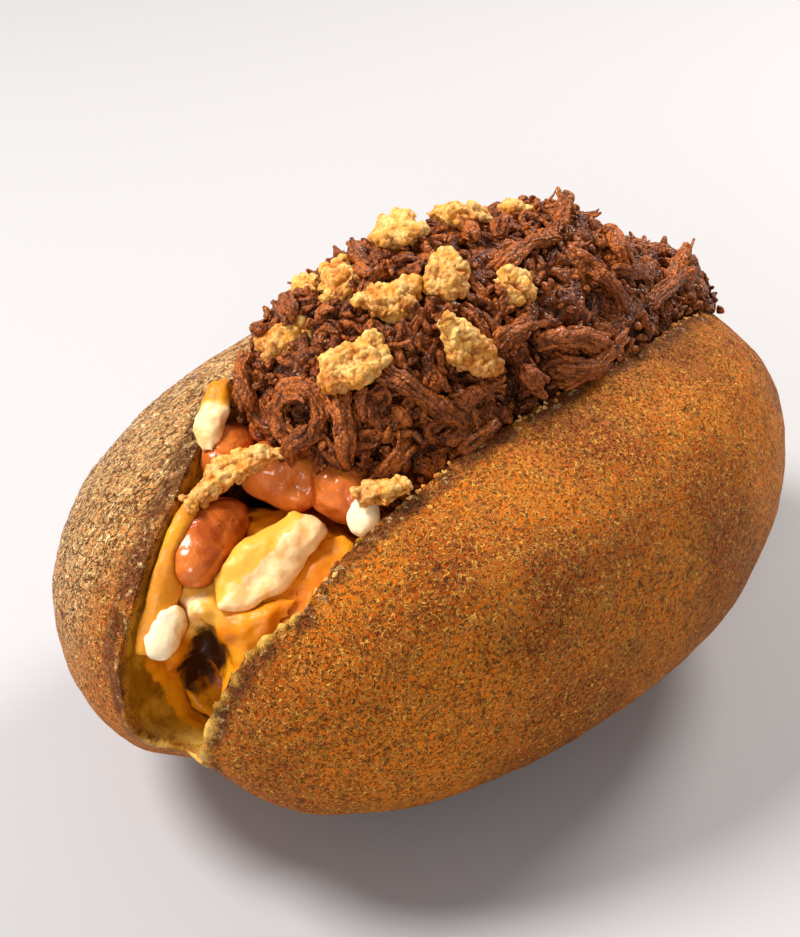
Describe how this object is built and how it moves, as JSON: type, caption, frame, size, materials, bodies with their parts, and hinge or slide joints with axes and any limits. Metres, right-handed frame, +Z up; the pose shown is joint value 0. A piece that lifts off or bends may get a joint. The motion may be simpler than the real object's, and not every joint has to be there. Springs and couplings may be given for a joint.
{
  "type": "baked potato",
  "caption": "Baked potato slit lengthwise and pushed open, filled with melted cheese, beans and a mound of pulled beef, with crisp onion pieces on top.",
  "frame": {"origin": "middle of the flat resting spot under the potato, on the surface that it stands on", "axes": "+X along the potato from the open near end to the far end, +Y to the paler lobe, +Z up"},
  "size_m": [0.1402, 0.093, 0.0913],
  "materials": {
    "potato": "baked potato skin, finely wrinkled, matt with a soft sheen; the torn inside is amber and moist",
    "pulled_beef": "dark braised beef shreds, moist, with glints along the fibres",
    "bean": "glossy reddish brown baked beans",
    "cheese": "melted cheese, orange with cream white pieces, smooth and slightly shiny",
    "onion": "crisp fried onion in knobbly golden batter"
  },
  "bodies": {
    "root": {"potato": "potato", "pulled_beef": "pulled_beef", "bean_1": "bean", "bean_2": "bean", "bean_3": "bean", "bean_4": "bean", "cheese_bed": "cheese", "cheese_slice": "cheese", "cheese_sheet": "cheese", "cheese_strip_left": "cheese", "cheese_nub_front": "cheese", "cheese_nub_right": "cheese", "cheese_shred_top": "cheese", "onion_1": "onion", "onion_2": "onion", "onion_3": "onion", "onion_4": "onion", "onion_5": "onion", "onion_6": "onion", "onion_7": "onion", "onion_8": "onion", "onion_9": "onion", "onion_10": "onion", "onion_11": "onion", "onion_12": "onion", "onion_13": "onion"}
  },
  "joints": []
}
